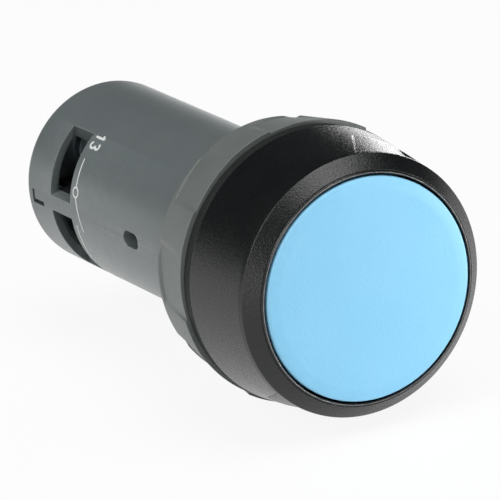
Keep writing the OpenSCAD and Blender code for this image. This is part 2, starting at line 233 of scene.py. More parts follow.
@dataclass(frozen=True)
class Moulding:
    """Moulded plastic or rubber with a fine grain.

    Attributes:
        name: Name of the finish.
        colour: Main colour.
        shade: Colour that the broad mottling leans to.
        worn_and_highlight_colour: Colour of rubbed edges, and of the edges where a highlight is
            painted.
        roughness: Mean roughness.
        spread: How far the roughness varies.
        specular: Strength of the gloss.
        grain: Size of the grain, in millimetres.
        depth: Depth of the grain, in millimetres.
        parting: Whether the mould's parting line shows.
    """

    name: str
    colour: Colour
    shade: Colour
    worn_and_highlight_colour: Colour
    roughness: float
    spread: float
    specular: float
    grain: float
    depth: float
    parting: bool = False

    def material(self) -> Material:
        """Makes the material."""
        graph = Graph.of_material(self.name)
        place = graph.place()
        broad = graph.noise(place, MOTTLE, 4.0)
        grain = graph.noise(place, self.grain, 3.0)
        pits = graph.noise(place, 2.2 * self.grain, 1.0)
        scuffs = graph.noise(place, SCUFF, 5.0)
        edge = graph.node("ShaderNodeAttribute", {"attribute_name": EDGE}, {}, "Fac")
        # Edge mask: rubbed wear on most edges, and a painted highlight on some edges
        rubbed_and_highlit = edge * (scuffs.band(0.35, 0.7) * 0.5 + 0.5)
        tint = graph.mix(broad.band(0.3, 0.7), self.colour, self.shade)
        colour = graph.mix(rubbed_and_highlit * 0.6, tint, self.worn_and_highlight_colour)
        height = grain + pits * 0.6
        if self.parting:
            height = height + self.parting_line(graph, place) * 1.5
        varied = (grain - 0.5) * self.spread + (broad - 0.5) * (0.5 * self.spread)
        return graph.finish(
            Specular_IOR_Level=self.specular,
            Base_Color=colour,
            Roughness=varied + self.roughness - rubbed_and_highlit * 0.12,
            Normal=graph.bump(height, self.depth),
        )

    @staticmethod
    def parting_line(graph: Graph, place: Value) -> Value:
        """Thin ridge where the two halves of the mould met, above and below the axis."""
        across = graph.node("ShaderNodeSeparateXYZ", {}, {0: place}, "X")
        return 1.0 - across.math("ABSOLUTE", across).band(0.02, 0.07)


@dataclass(frozen=True)
class Metal:
    """Drawn, stamped or plated metal.

    Attributes:
        name: Name of the finish.
        colour: Main colour.
        tarnish: Colour of its duller patches.
        roughness: Mean roughness.
        grain: Size of the fine scratches, in millimetres.
    """

    name: str
    colour: Colour
    tarnish: Colour
    roughness: float
    grain: float

    def material(self) -> Material:
        """Makes the material."""
        graph = Graph.of_material(self.name)
        place = graph.place()
        settings, inputs = {"operation": "MULTIPLY"}, {0: place, 1: DRAWN}
        stretched = graph.node("ShaderNodeVectorMath", settings, inputs)
        scratches = graph.noise(stretched, self.grain, 4.0)
        patches = graph.noise(place, PATCH, 3.0)
        return graph.finish(
            Metallic=1.0,
            Base_Color=graph.mix(patches.band(0.42, 0.72), self.colour, self.tarnish),
            Roughness=(scratches - 0.5) * 0.25 + patches * 0.12 + self.roughness,
            Normal=graph.bump(scratches, SCRATCH_DEPTH),
        )


@dataclass(frozen=True)
class Ink:
    """Pad-printed ink, a little thin in places.

    Attributes:
        name: Name of the finish.
        colour: Colour of full ink.
        thin: Colour where the ink is thin.
    """

    name: str
    colour: Colour
    thin: Colour

    def material(self) -> Material:
        """Makes the material."""
        graph = Graph.of_material(self.name)
        cover = graph.noise(graph.place(), SPECK, 3.0)
        return graph.finish(
            Base_Color=graph.mix(cover.band(0.25, 0.5), self.thin, self.colour),
            Roughness=cover * 0.2 + 0.45,
        )


Finish = Union[Moulding, Metal, Ink]

# Its lighter worn colour paints a highlight along the cap's rim
CAP_BLUE = Moulding(
    "cap blue",
    colour=(0.264, 0.640, 0.915),
    shade=(0.279, 0.653, 0.924),
    worn_and_highlight_colour=(0.42, 0.74, 0.93),
    roughness=0.50,
    spread=0.10,
    specular=0.40,
    grain=0.20,
    depth=0.022,
)
# Its light worn colour also paints the highlight line on the lip's bead
BEZEL_BLACK = Moulding(
    "bezel black",
    colour=(0.0040, 0.0046, 0.0050),
    shade=(0.0054, 0.0060, 0.0062),
    worn_and_highlight_colour=(0.230, 0.222, 0.222),
    roughness=0.26,
    spread=0.22,
    specular=0.50,
    grain=0.13,
    depth=0.030,
)
GASKET_RUBBER = Moulding(
    "gasket rubber",
    colour=(0.011, 0.0128, 0.0132),
    shade=(0.015, 0.017, 0.0175),
    worn_and_highlight_colour=(0.04, 0.04, 0.04),
    roughness=0.62,
    spread=0.12,
    specular=0.35,
    grain=0.12,
    depth=0.010,
)
NUT_GREY = Moulding(
    "nut grey",
    colour=(0.135, 0.152, 0.144),
    shade=(0.150, 0.166, 0.157),
    worn_and_highlight_colour=(0.27, 0.30, 0.28),
    roughness=0.48,
    spread=0.12,
    specular=0.45,
    grain=0.26,
    depth=0.012,
)
BARREL_GREY = Moulding(
    "barrel grey",
    colour=(0.125, 0.144, 0.146),
    shade=(0.134, 0.152, 0.153),
    worn_and_highlight_colour=(0.22, 0.25, 0.25),
    roughness=0.34,
    spread=0.06,
    specular=0.50,
    grain=0.30,
    depth=0.004,
    parting=True,
)
INNER_DARK = Moulding(
    "inner dark",
    colour=(0.010, 0.011, 0.012),
    shade=(0.014, 0.015, 0.016),
    worn_and_highlight_colour=(0.03, 0.03, 0.03),
    roughness=0.55,
    spread=0.12,
    specular=0.35,
    grain=0.25,
    depth=0.010,
)
INNER_WHITE = Moulding(
    "inner white",
    colour=(0.66, 0.66, 0.61),
    shade=(0.60, 0.60, 0.55),
    worn_and_highlight_colour=(0.72, 0.72, 0.68),
    roughness=0.45,
    spread=0.10,
    specular=0.45,
    grain=0.25,
    depth=0.008,
)
SPRING_STEEL = Metal("spring steel", (0.50, 0.51, 0.52), (0.36, 0.36, 0.36), 0.26, 0.10)
ZINC = Metal("zinc plate", (0.72, 0.80, 0.84), (0.56, 0.66, 0.70), 0.42, 0.16)
BRASS = Metal("brass strip", (0.60, 0.43, 0.17), (0.42, 0.28, 0.11), 0.28, 0.14)
SILVER = Metal("silver tip", (0.78, 0.77, 0.74), (0.60, 0.58, 0.54), 0.22, 0.08)
PRINT_WHITE = Ink("print white", (0.80, 0.82, 0.80), (0.46, 0.50, 0.49))


class Paint:
    """Gives out each finish's material, and makes it only once."""

    def __init__(self) -> None:
        """Starts with no material made."""
        self.made: dict[str, Material] = {}

    def of(self, finish: Finish) -> Material:
        """Material of a finish."""
        if finish.name not in self.made:
            self.made[finish.name] = finish.material()
        return self.made[finish.name]


# Meshes

# Least angle of an edge that gets rounded, and the faces across the rounding and its wear
SHARP = math.radians(35)
ROUNDING_FACES = 3
SOFT_WEAR = 0.6
# Faces round a turned piece
ROUND = 192
# Distances in millimetres within which points become one, and within which sizes are taken as equal
WELD = 1e-4
SAME = 0.01
# Steepness of a thread's flanks and width of its root
FLANK = 2.6
ROOT = 0.1


@dataclass(frozen=True)
class Corner:
    """A corner of a turned outline.

    Attributes:
        radius: Distance from the axis.
        depth: Depth behind the panel's front face.
        fillet: Radius that rounds the corner.
        wear_and_highlight: How much its edge is rubbed, from 0 to 1, and on the bezel's lip (up to
            2.4) and the cap's rim how strong its painted highlight is.
        rows: Rows of faces between this corner and the next.
    """

    radius: float
    depth: float
    fillet: float = 0.05
    wear_and_highlight: float = 0.0
    rows: int = 1


@dataclass(frozen=True)
class Rim:
    """A point of an outline, which turns into a ring of the mesh."""

    radius: float
    depth: float
    wear_and_highlight: float = 0.0


Shape = Callable[[Rim, float], Rim]
Face = tuple[int, ...]


def smooth(low: float, high: float, value: float) -> float:
    """Smooth step from 0 at low to 1 at high."""
    share = min(1.0, max(0.0, (value - low) / (high - low)))
    return share * share * (3 - 2 * share)


def fillet(before: Corner, corner: Corner, after: Corner, steps: int = 5) -> list[Rim]:
    """Points that round one corner of an outline.

    Args:
        before: The corner before it.
        corner: The corner.
        after: The corner after it.
        steps: Number of faces on the rounding.

    Returns:
        Points along the rounding, or the corner itself where it is sharp or straight.
    """
    here = Vector((corner.radius, corner.depth))
    back = Vector((before.radius, before.depth)) - here
    ahead = Vector((after.radius, after.depth)) - here
    half = back.angle(ahead, 0.0) / 2
    if corner.fillet <= 0 or half < 0.05 or half > math.pi / 2 - 0.02:
        return [Rim(corner.radius, corner.depth, corner.wear_and_highlight)]
    reach = min(corner.fillet / math.tan(half), 0.48 * back.length, 0.48 * ahead.length)
    start = here + back.normalized() * reach
    end = here + ahead.normalized() * reach
    points = []
    for step in range(steps + 1):
        share = step / steps
        bent = start.lerp(here, share).lerp(here.lerp(end, share), share)
        points.append(Rim(bent.x, bent.y, corner.wear_and_highlight * 4 * share * (1 - share)))
    return points


def outline(corners: Sequence[Corner]) -> list[Rim]:
    """Closed outline with its corners rounded and its long sides divided into rows."""
    rims: list[Rim] = []
    for index, corner in enumerate(corners):
        after = corners[(index + 1) % len(corners)]
        rims += fillet(corners[index - 1], corner, after)
        if corner.rows > 1:
            beyond = corners[(index + 2) % len(corners)]
            start, end = rims[-1], fillet(corner, after, beyond)[0]
            for row in range(1, corner.rows):
                share = row / corner.rows
                radius = start.radius + (end.radius - start.radius) * share
                rims.append(Rim(radius, start.depth + (end.depth - start.depth) * share))
    return rims


def round_turns(count: int) -> list[float]:
    """Even turns round the axis, in radians."""
    return [2 * math.pi * index / count for index in range(count)]


def sorted_turns(degrees: Iterable[float]) -> list[float]:
    """Turns in radians, in order and each only once."""
    return [math.radians(turn) for turn in sorted({round(turn % 360, 3) for turn in degrees})]


def on_axis(radius: float, turn: float, depth: float) -> Vector:
    """Point in metres at a radius, a turn in radians and a depth."""
    return Vector((-radius * math.cos(turn), depth, radius * math.sin(turn))) * MM


def placed(name: str, data: ID) -> Object:
    """Puts a mesh, a lamp or a camera in the scene."""
    made = bpy.data.objects.new(name, data)
    bpy.context.scene.collection.objects.link(made)
    return made


def even_shading(piece: Object) -> None:
    """Shades a piece evenly, and keeps its sharp edges."""
    piece.modifiers.new("even shading", "WEIGHTED_NORMAL").keep_sharp = True


def new_piece(name: str, mesh: Mesh, crease: float = 40.0) -> Object:
    """Puts a mesh in the scene as a smooth piece.

    Args:
        name: Name of the piece.
        mesh: Its mesh.
        crease: Angle in degrees above which an edge stays sharp.

    Returns:
        The piece.
    """
    for face in mesh.polygons:
        face.use_smooth = True
    mesh.set_sharp_from_angle(angle=math.radians(crease))
    piece = placed(name, mesh)
    even_shading(piece)
    return piece


def solid_mesh(
    name: str, points: Sequence[Vector], faces: Sequence[Face], wear_and_highlight: Sequence[float] = ()
) -> Mesh:
    """Closed mesh with its faces turned outwards.

    Args:
        name: Name of the mesh.
        points: Its points, in metres.
        faces: Places of each face's points.
        wear_and_highlight: How much each point is lightened by rubbed wear and by painted
            highlight, where that is known.

    Returns:
        The mesh.
    """
    mesh = bpy.data.meshes.new(name)
    mesh.from_pydata(points, [], faces)
    if wear_and_highlight:
        mesh.attributes.new(EDGE, "FLOAT", "POINT").data.foreach_set("value", wear_and_highlight)
    form = bmesh.new()
    form.from_mesh(mesh)
    bmesh.ops.remove_doubles(form, verts=form.verts, dist=WELD * MM)
    bmesh.ops.recalc_face_normals(form, faces=form.faces)
    form.to_mesh(mesh)
    form.free()
    return mesh


def joined(rings: int, count: int, closed: bool) -> list[Face]:
    """Faces of a skin over rings of points.

    Args:
        rings: Number of rings.
        count: Number of points on each.
        closed: Whether the last ring meets the first; otherwise both ends get a flat face.

    Returns:
        The faces.
    """
    faces: list[Face] = []
    if not closed:
        faces += [tuple(range(count)), tuple(range((rings - 1) * count, rings * count))]
    for ring in range(rings if closed else rings - 1):
        near, far = ring * count, (ring + 1) % rings * count
        for place in range(count):
            after = (place + 1) % count
            faces.append((near + place, near + after, far + after, far + place))
    return faces


@dataclass
class Turned:
    """A closed outline carried round an axis that is parallel to the button's.

    Attributes:
        rims: The outline.
        turns: Turns at which it is drawn, in radians.
        centre: X and Z of the axis.
        shape: Changes a point of the outline by its turn.
    """

    rims: Sequence[Rim]
    turns: Sequence[float]
    centre: Pair = (0.0, 0.0)
    shape: Optional[Shape] = None

    def mesh(self, name: str) -> Mesh:
        """Makes the mesh."""
        shift = Vector((self.centre[0], 0.0, self.centre[1])) * MM
        points, wear_and_highlight = [], []
        for turn in self.turns:
            for rim in self.rims:
                bent = self.shape(rim, turn) if self.shape else rim
                points.append(on_axis(bent.radius, turn, bent.depth) + shift)
                wear_and_highlight.append(bent.wear_and_highlight)
        return solid_mesh(name, points, joined(len(self.turns), len(self.rims), True), wear_and_highlight)


def prism(sections: Sequence[Sequence[Place]]) -> Mesh:
    """Closed solid between two outlines of as many points each, in millimetres."""
    low, high = sections
    points = [Vector(place) * MM for place in [*low, *high]]
    return solid_mesh("prism", points, joined(2, len(low), False))


def bar(flat: Sequence[Pair], near: float, far: float) -> Mesh:
    """Closed solid along X between two places, over a flat outline of heights and depths."""
    return prism([[(x, depth, height) for height, depth in flat] for x in (near, far)])


def stadium(width: float, length: float, steps: int = 12) -> list[Pair]:
    """Flat outline with half-round ends, its length along the second axis."""
    points = []
    for end in (1, -1):
        for step in range(steps + 1):
            turn = math.pi * step / steps
            along = end * ((length - width) / 2 + width / 2 * math.sin(turn))
            points.append((end * width / 2 * math.cos(turn), along))
    return points


def cut(mesh: Mesh, cutters: Iterable[Mesh]) -> Mesh:
    """Cuts solids out of a mesh.

    Args:
        mesh: The mesh to cut.
        cutters: The solids to take away.

    Returns:
        A new mesh.
    """
    block = placed("block", mesh)
    tools = []
    for cutter in cutters:
        tool = placed("tool", cutter)
        step = block.modifiers.new("cut", "BOOLEAN")
        step.operation, step.solver, step.object = "DIFFERENCE", "EXACT", tool
        tools.append(tool)
    graph = bpy.context.evaluated_depsgraph_get()
    made = bpy.data.meshes.new_from_object(block.evaluated_get(graph))
    for spent in [block, *tools]:
        bpy.data.objects.remove(spent)
    return made


def soften(mesh: Mesh, width: float, where: Callable[[Vector], bool]) -> None:
    """Rounds the sharp edges of a mesh and marks them as rubbed.

    Args:
        mesh: The mesh.
        width: Width of the rounding, in millimetres.
        where: Picks edges by their middle, in millimetres.
    """
    form = bmesh.new()
    form.from_mesh(mesh)
    picked = [
        edge
        for edge in form.edges
        if edge.calc_face_angle(0.0) > SHARP
        and where((edge.verts[0].co + edge.verts[1].co) / 2 / MM)
    ]
    made = bmesh.ops.bevel(
        form,
        geom=picked,
        offset=width * MM,
        segments=ROUNDING_FACES,
        profile=0.5,
        affect="EDGES",
        clamp_overlap=True,
    )
    layer = form.verts.layers.float.get(EDGE) or form.verts.layers.float.new(EDGE)
    for face in made["faces"]:
        for vert in face.verts:
            vert[layer] = SOFT_WEAR
    form.to_mesh(mesh)
    form.free()


def coil(radius: float, wire: float, start: float, end: float, turns: float) -> Mesh:
    """Closed tube wound round the button's axis, with its end turns drawn flat.

    Args:
        radius: Radius to the middle of the wire.
        wire: Diameter of the wire.
        start: Depth of its front face.
        end: Depth of its rear face.
        turns: Number of turns.

    Returns:
        The mesh.
    """
    sides, per_turn = 10, 28
    rings = round(turns * per_turn)
    first, last = start + wire / 2, end - wire / 2
    flat = 0.75 / turns
    points: list[Vector] = []
    for ring in range(rings + 1):
        share = ring / rings
        eased = (share - flat / 2) / (1 - flat)
        depth = first + (last - first) * min(1.0, max(0.0, eased))
        turn = 2 * math.pi * turns * share
        for side in range(sides):
            around = 2 * math.pi * side / sides
            out = radius + wire / 2 * math.cos(around)
            points.append(on_axis(out, turn, depth + wire / 2 * math.sin(around)))
    return solid_mesh("coil", points, joined(rings + 1, sides, False))


class Dresser:
    """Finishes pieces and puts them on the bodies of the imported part."""

    def __init__(self, nodes: dict[str, Object]) -> None:
        """Keeps the part's nodes, by name."""
        self.nodes = nodes
        self.paint = Paint()

    def coat(self, piece: Object, finish: Finish) -> None:
        """Gives a piece the material of a finish."""
        piece.data.materials.clear()
        piece.data.materials.append(self.paint.of(finish))

    def dress(
        self,
        piece: Object,
        finish: Finish,
        body: Body,
        slot: str,
        stands_for: Sequence[str] = (),
    ) -> None:
        """Finishes a new piece.

        Args:
            piece: The piece.
            finish: Its finish.
            body: The body that it moves with.
            slot: The record's material slot; not used.
            stands_for: Nodes that it is shown in place of.
        """
        self.coat(piece, finish)
        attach(piece, body.value)
        if stands_for:
            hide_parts(*stands_for)
        log.info("%s: %d faces, %s", piece.name, len(piece.data.polygons), finish.name)

    def keep(self, name: str, finish: Finish, rounding: float) -> None:
        """Finishes a node that keeps its own shape, with its edges rounded."""
        node = self.nodes[name]
        self.coat(node, finish)
        edges = node.modifiers.new("rounded edges", "BEVEL")
        edges.width, edges.segments = rounding * MM, ROUNDING_FACES
        edges.limit_method, edges.angle_limit = "ANGLE", SHARP
        even_shading(node)
        log.info("%s: kept, %s", name, finish.name)


# Sub-assemblies


def thread_wave(depth: float, turn: float, pitch: float) -> float:
    """Height of a right-hand thread, from 0 at its root to 1 at its crest."""
    phase = (depth / pitch + turn / (2 * math.pi)) % 1.0
    return min(1.0, max(0.0, FLANK * abs(phase - 0.5) - ROOT))


@dataclass(frozen=True)
class CapSizes:
    """Sizes of the button cap. Its slope is the width and the drop of the sloped rim."""

    radius: float = 11.84
    face: float = -12.8
    slope: Pair = (1.3, 0.13)
    under: float = -10.85
    skirt: float = -7.4
    skirt_wall: float = 1.2
    socket: Pair = (3.8, 5.3)
    edge: float = 0.36


@dataclass
class ButtonCap:
    """The flush cap."""

    dresser: Dresser
    sizes: CapSizes = CapSizes()

    def build(self) -> None:
        """Builds and dresses the cap."""
        size = self.sizes
        inner, outer = size.socket
        width, drop = size.slope
        bore = size.radius - size.skirt_wall
        corners = [
            Corner(0.0, size.face, 0.0),
            Corner(size.radius - width, size.face, 4.0),
            # The rim's edge mark paints a lighter highlight along the rounded edge
            Corner(size.radius, size.face + drop, size.edge, 0.4),
            Corner(size.radius, size.skirt, 0.15),
            Corner(bore, size.skirt, 0.15),
            Corner(bore, size.under, 0.3),
            Corner(outer, size.under, 0.3),
            Corner(outer, size.skirt, 0.15),
            Corner(inner, size.skirt, 0.15),
            Corner(inner, size.under, 0.1),
            Corner(0.0, size.under, 0.0),
        ]
        mesh = Turned(outline(corners), round_turns(ROUND)).mesh("button_cap")
        cap = new_piece("cap", mesh)
        self.dresser.dress(cap, CAP_BLUE, Body.BUTTON, "blue_cap", ["button_cap"])


@dataclass(frozen=True)
class BezelSizes:
    """Sizes of the bezel with its bush and sleeve, and of the gasket.

    An edge, the foot, the well and the seat are each a radius and a depth. The lip's groove is its
    width, its depth and the drop of its outer edge.
    """

    bore: float = 12.08
    floor: float = -3.1
    lip: float = -12.5
    lip_wall: float = 0.30
    lip_round: float = 0.12
    lip_groove: Triple = (0.10, 0.30, 0.26)
    front_edge: Pair = (13.93, -10.9)
    rear_edge: Pair = (14.8, -1.6)
    foot: Pair = (14.65, -1.2)
    thread: float = 11.0
    thread_end: float = 7.1
    thread_pitch: float = 1.5
    thread_depth: float = 0.7
    thread_fade: Pair = (0.8, 0.5)
    lead: float = 10.6
    bush_end: float = 10.5
    sleeve: float = 8.6
    sleeve_bore: float = 7.3
    sleeve_end: float = 22.0
    well: Pair = (8.8, 8.5)
    web: float = -0.9
    stem_bore: float = 3.9
    seal_seat: Pair = (6.0, -1.9)
    notch_floor: float = 13.07
    notch_front: float = -10.55
    notch_slope: float = math.tan(math.radians(14.3))
    notch_half: float = 22.0
    notch_narrow: float = 2.0
    notch_soft: float = 0.25
    notch_wear_and_highlight: float = 0.2
    notch_turns: Pair = (math.radians(-63), math.radians(117))
    hook_depth: float = 20.2
    hook_reach: float = 8.75
    hook_size: Pair = (1.5, 3.0)
    hook_root: float = 0.3
    hook_edge: float = 0.2
    gasket_bore: float = 10.7
    gasket_set_in: float = 0.02


@dataclass
class Bezel:
    """Bezel, bush and sleeve, with the snap hooks and the gasket behind it."""

    dresser: Dresser
    sizes: BezelSizes = BezelSizes()

    def build(self) -> None:
        """Builds and dresses the pieces."""
        self.build_body()
        self.build_hooks()
        self.build_gasket()

    def corners(self) -> list[Corner]:
        """Outline of the moulding, from its floor outwards and back through the sleeve."""
        size = self.sizes
        lip_out = size.bore + size.lip_wall
        groove_wide, groove_deep, groove_edge = size.lip_groove
        well_r, well_d = size.well
        seat_r, seat_d = size.seal_seat
        edge_r, edge_d = size.front_edge
        rear_r, rear_d = size.rear_edge
        slant = (rear_r - edge_r) / (rear_d - edge_d)
        rim_back = edge_r + slant * (size.notch_front - edge_d)
        return [
            Corner(size.bore, size.floor, 0.4),
            Corner(size.bore, size.lip + size.lip_round, 0.06),
            # The lip's bead carries a strong edge mark (2.4): a painted highlight line
            Corner(size.bore + size.lip_wall / 2, size.lip, 0.2, 2.4),
            Corner(lip_out, size.lip + groove_deep, 0.03),
            Corner(lip_out + groove_wide, size.lip + groove_edge, 0.05),
            Corner(edge_r, edge_d, 0.22, 0.15),
            Corner(rim_back, size.notch_front, 0.0),
            Corner(rim_back + 0.02, size.notch_front + 0.06, 0.0, 0.0, 40),
            Corner(rear_r, rear_d, 0.25, 0.1),
            Corner(*size.foot, 0.1),
            Corner(size.lead, size.foot[1], 0.1),
            Corner(size.lead, 0.0, 0.05),
            Corner(size.thread, 0.0, 0.1, 0.0, 50),
            Corner(size.thread, size.thread_end, 0.2),
            Corner(size.lead, size.thread_end, 0.1),
            Corner(size.lead, size.bush_end, 0.4, 0.3),
            Corner(size.sleeve, size.bush_end, 0.1),
            Corner(size.sleeve, size.sleeve_end, 0.3),
            Corner(size.sleeve_bore, size.sleeve_end, 0.2),
            Corner(size.sleeve_bore, well_d, 0.2),
            Corner(well_r, well_d, 0.2),
            Corner(well_r, size.web, 0.3),
            Corner(size.stem_bore, size.web, 0.1),
            Corner(size.stem_bore, seat_d, 0.1),
            Corner(seat_r, seat_d, 0.1),
            Corner(seat_r, size.floor, 0.1),
        ]

    def shape(self, rim: Rim, turn: float) -> Rim:
        """Cuts the thread and the two side notches into the turned form."""
        size = self.sizes
        if abs(rim.radius - size.thread) < SAME and 0.05 < rim.depth < size.thread_end:
            first, last = size.thread_fade
            fade = smooth(0.0, first, rim.depth) * smooth(0.0, last, size.thread_end - rim.depth)
            groove = 1 - thread_wave(rim.depth, turn, size.thread_pitch)
            return Rim(rim.radius - size.thread_depth * groove * fade, rim.depth)
        behind = rim.depth - size.notch_front
        if rim.radius < size.bore + 0.8 or behind < 0.03 or rim.depth > size.foot[1] - 0.05:
            return rim
        floor = size.notch_floor + behind * size.notch_slope
        half = size.notch_half - behind * size.notch_narrow
        for notch in size.notch_turns:
            across = math.degrees(math.acos(min(1.0, math.cos(turn - notch))))
            share = 1 - smooth(half - size.notch_soft, half + size.notch_soft, across)
            if share > 0 and floor < rim.radius:
                wear_and_highlight = size.notch_wear_and_highlight * share * (1 - share)
                radius = rim.radius - (rim.radius - floor) * share
                return Rim(radius, rim.depth, max(rim.wear_and_highlight, wear_and_highlight))
        return rim

    def turns(self) -> list[float]:
        """Turns of the mesh, closer together across the notches."""
        found: list[float] = list(range(0, 360, 2))
        for notch in self.sizes.notch_turns:
            found += [math.degrees(notch) + step / 4 for step in range(-100, 101)]
        return sorted_turns(found)

    def build_body(self) -> None:
        """Builds the moulding."""
        mesh = Turned(outline(self.corners()), self.turns(), shape=self.shape).mesh("bezel")
        body = new_piece("bezel_body", mesh)
        self.dresser.dress(body, BEZEL_BLACK, Body.HOUSING, "black_plastic", ["bezel"])

    def build_hooks(self) -> None:
        """Builds the hooks that show in the barrel's snap holes."""
        size = self.sizes
        for name, side in (("near", -1), ("far", 1)):
            flat = [(across, size.hook_depth + along) for across, along in stadium(*size.hook_size)]
            mesh = bar(flat, side * (size.sleeve - size.hook_root), side * size.hook_reach)
            soften(mesh, size.hook_edge, lambda middle: abs(middle.x) > size.hook_reach - SAME)
            hook = new_piece(f"snap_hook_{name}", mesh)
            self.dresser.dress(hook, BEZEL_BLACK, Body.HOUSING, "black_plastic")

    def build_gasket(self) -> None:
        """Builds the gasket."""
        size = self.sizes
        rim, front = size.foot
        corners = [
            Corner(size.gasket_bore, front, 0.1),
            Corner(rim - size.gasket_set_in, front, 0.18, 0.2),
            Corner(rim, 0.0, 0.18, 0.2),
            Corner(size.gasket_bore, 0.0, 0.1),
        ]
        mesh = Turned(outline(corners), round_turns(ROUND)).mesh("gasket")
        gasket = new_piece("gasket", mesh)
        self.dresser.dress(gasket, GASKET_RUBBER, Body.HOUSING, "gasket_rubber", ["panel_gasket"])


@dataclass(frozen=True)
class NutSizes:
    """Sizes of the nut; its angles are in degrees.

    The ring, the lugs' rise and the lean between them are each given at the front and at the rear.
    Rows are depths of the mesh; the rear ones are a first depth, a step and a number. The points of
    an edge's rounding have a drop and a depth, and at the rear a wear. A lug's lower flank has its
    start, its end and how much shorter it is at the rear; the upper one has its start, how much
    longer it is at the rear, and its end.
    """

    bore: float = 11.1
    bore_lead: float = 0.2
    length: float = 6.8
    ring: Pair = (14.90, 13.82)
    ring_rows: tuple[float, ...] = (0.06, 0.12, 0.5, 1.2, 2.2, 3.2, 4.2, 4.9, 5.3, 5.5)
    rear_rows: tuple[float, float, int] = (5.6, 0.08, 13)
    front_round: tuple[Pair, ...] = ((0.3, 0.0), (0.04, 0.01))
    rear_round: tuple[Triple, ...] = ((0.04, 6.66, 0.5), (0.11, 6.75, 0.8), (0.24, 6.8, 0.0))
    lug_rise: Pair = (0.24, 0.28)
    lug_half: float = 8.1
    lug_count: int = 8
    lug_turn: float = 25.8
    low_flank: Triple = (-0.3, 5.0, 3.0)
    high_flank: Triple = (0.5, 4.0, 0.3)
    lean: Pair = (0.9, 0.6)
    wedge_rise: float = 0.16
    wedge_width: float = 0.95
    groove: float = 0.07
    thread_rows: int = 48
    thread_pitch: float = 1.5
    thread_depth: float = 0.55
    thread_fade: float = 0.9


@dataclass
class MountingNut:
    """Round nut with low lugs and wedges between them for the grip."""

    dresser: Dresser
    sizes: NutSizes = NutSizes()

    def rims(self) -> list[Rim]:
        """Outline of the plain ring, with rows for the lugs and for the thread in its bore."""
        size = self.sizes
        front, rear = size.ring
        first, step, count = size.rear_rows
        rims = [Rim(size.bore + size.bore_lead, 0.0)]
        rims += [Rim(front - drop, depth) for drop, depth in size.front_round]
        for depth in (*size.ring_rows, *(first + step * row for row in range(count))):
            radius = front + (rear - front) * depth / size.length
            rims.append(Rim(radius, depth, 1.0 if depth < 0.1 else 0.0))
        rims += [Rim(rear - drop, depth, wear_and_highlight) for drop, depth, wear_and_highlight in size.rear_round]
        rims.append(Rim(size.bore + size.bore_lead, size.length))
        for row in range(size.thread_rows + 1):
            back = (size.length - 2 * size.bore_lead) * row / size.thread_rows
            rims.append(Rim(size.bore, size.length - size.bore_lead - back))
        return rims

    def rise(self, turn: float, depth: float) -> Pair:
        """Height of the lugs and wedges above the plain ring.

        Args:
            turn: Turn in radians.
            depth: Depth behind the nut's front face.

        Returns:
            The height, and how far the turn lies on a lug.
        """
        size = self.sizes
        pitch = 360 / size.lug_count
        below = (size.lug_turn - math.degrees(turn)) % pitch
        back = min(1.0, depth / size.length)
        top, foot, less = size.low_flank
        lower = 1 - smooth(size.lug_half + top, size.lug_half + foot - less * back, below)
        foot, more, top = size.high_flank
        after = pitch - size.lug_half
        upper = smooth(after - foot - more * back, after + top, below)
        share = max(lower, upper)
        along = min(1.0, max(0.0, (below - size.lug_half) / (pitch - 2 * size.lug_half)))
        front, rear = size.lug_rise
        lug = front + (rear - front) * back
        near, far = size.lean
        slope = front * near * (1 - along) * (1 - back) + rear * far * along * back
        start = size.length - 0.1 - size.wedge_width * along
        wedge = size.wedge_rise * smooth(0.0, 0.3, along) * smooth(start, start + 0.14, depth)
        dip = size.groove * smooth(start - 0.7, start - 0.2, depth)
        dip *= 1 - smooth(start - 0.1, start, depth)
        between = min(lug, slope + wedge - dip * smooth(0.2, 0.6, along))
        return between + (lug - between) * share, share

    def shape(self, rim: Rim, turn: float) -> Rim:
        """Raises the lugs and wedges and cuts the thread in the bore."""
        size = self.sizes
        if rim.radius == size.bore:
            ends = (rim.depth, size.length - rim.depth)
            fade = math.prod(smooth(0.0, size.thread_fade, end) for end in ends)
            groove = thread_wave(rim.depth, turn, size.thread_pitch)
            return Rim(rim.radius + size.thread_depth * groove * fade, rim.depth)
        if rim.radius < size.bore + 1.5 * size.bore_lead:
            return rim
        height, share = self.rise(turn, rim.depth)
        return Rim(rim.radius + height, rim.depth, rim.wear_and_highlight * (0.15 + 0.6 * share))

    def turns(self) -> list[float]:
        """Turns of the mesh, close together on the flanks of the lugs."""
        half = self.sizes.lug_half
        flanks = [side * (half - 0.5 + 0.25 * step) for side in (1, -1) for step in range(24)]
        top = [-6.0, -4.0, -2.0, 0.0, 2.0, 4.0, 6.0]
        between = [half + 6.3 + 1.3 * step for step in range(14)]
        found: list[float] = []
        for lug in range(self.sizes.lug_count):
            centre = self.sizes.lug_turn + lug * 360 / self.sizes.lug_count
            found += [centre - offset for offset in flanks + top + between]
        return sorted_turns(found)

    def build(self) -> None:
        """Builds and dresses the nut."""
        mesh = Turned(self.rims(), self.turns(), shape=self.shape).mesh("nut")
        nut = new_piece("nut_ring", mesh, 28.0)
        self.dresser.dress(nut, NUT_GREY, Body.NUT, "nut_grey", ["mounting_nut"])


@dataclass(frozen=True)
class BarrelSizes:
    """Sizes of the barrel and its openings.

    The pocket goes ahead of a window, behind it and below the bore. The cutters go past the walls.
    The edges of the openings are softened between two depths. The latch slot has two heights and
    two depths.
    """

    radius: float = 10.15
    bore: float = 8.65
    front: float = 10.5
    rear: float = 44.3
    window_front: float = 34.0
    window_rear: float = 38.5
    window_wall: float = 0.95
    window_near: float = 0.9
    window_far: float = 7.9
    window_slant: float = 1.25
    window_lean: float = 0.3
    pocket: Triple = (0.3, 1.0, 0.8)
    past: float = 1.0
    edge: float = 0.10
    edge_band: float = 0.12
    softened: Pair = (11.5, 39.5)
    snap_depth: float = 20.2
    snap_size: Pair = (1.7, 3.2)
    latch: tuple[float, float, float, float] = (-0.95, 0.60, 40.45, 42.95)


